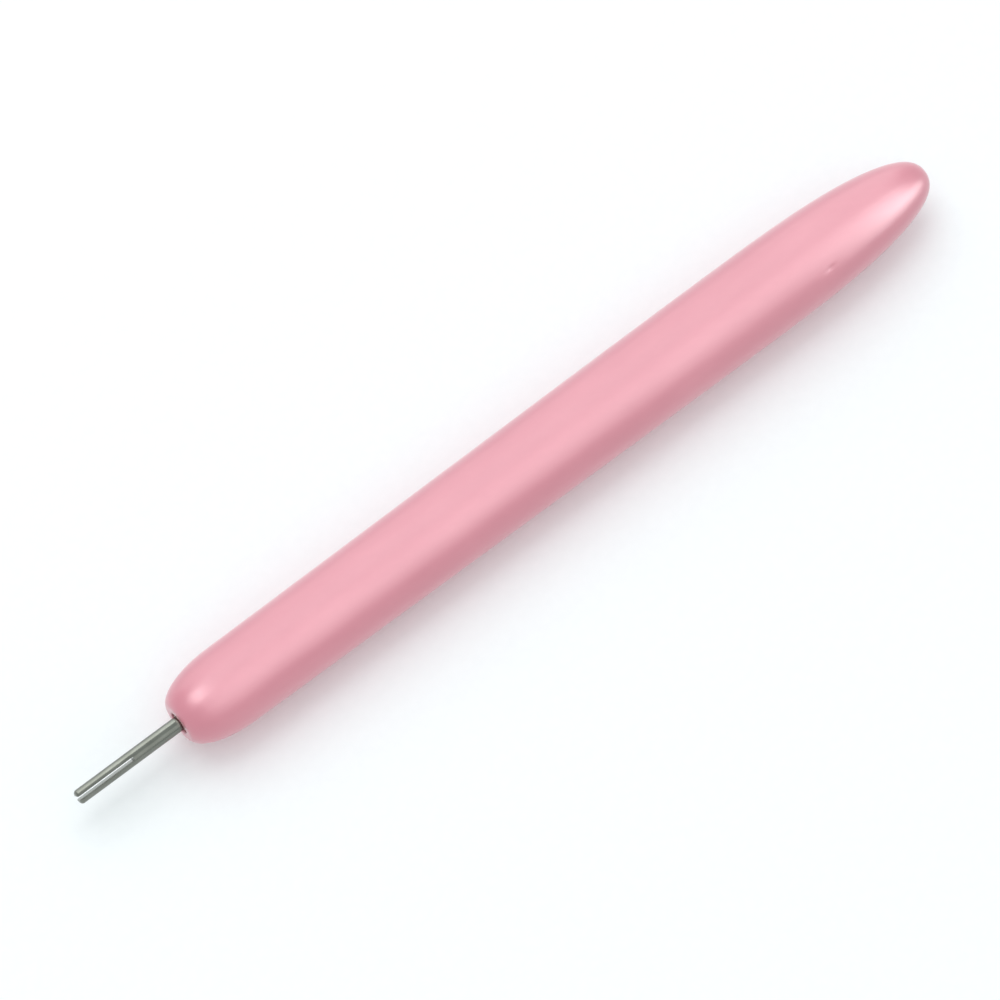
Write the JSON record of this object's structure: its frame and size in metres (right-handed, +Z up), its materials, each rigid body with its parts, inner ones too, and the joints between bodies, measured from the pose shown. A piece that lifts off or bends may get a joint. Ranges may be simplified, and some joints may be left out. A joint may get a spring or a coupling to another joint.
{
  "type": "quilling tool",
  "caption": "Slotted quilling tool: a slim steel pin with a split end, glued into a round, blunt-ended enamelled wooden handle, for winding paper strips into coils.",
  "frame": {"origin": "on the surface that the tool lies on, under the middle of its overall length", "axes": "+X from the pin's tip to the handle's tail along the tool's axis, +Z up; the pin points towards -X"},
  "size_m": [0.1036, 0.009, 0.009],
  "materials": {
    "wood": "bare turned beech, sealed under the enamel",
    "enamel": "gloss pink enamel",
    "steel": "drawn and polished",
    "adhesive": "cured clear glue"
  },
  "bodies": {
    "root": {"handle_core": "wood", "handle_enamel": "enamel", "slotted_pin": "steel", "pin_adhesive": "adhesive"}
  },
  "joints": []
}
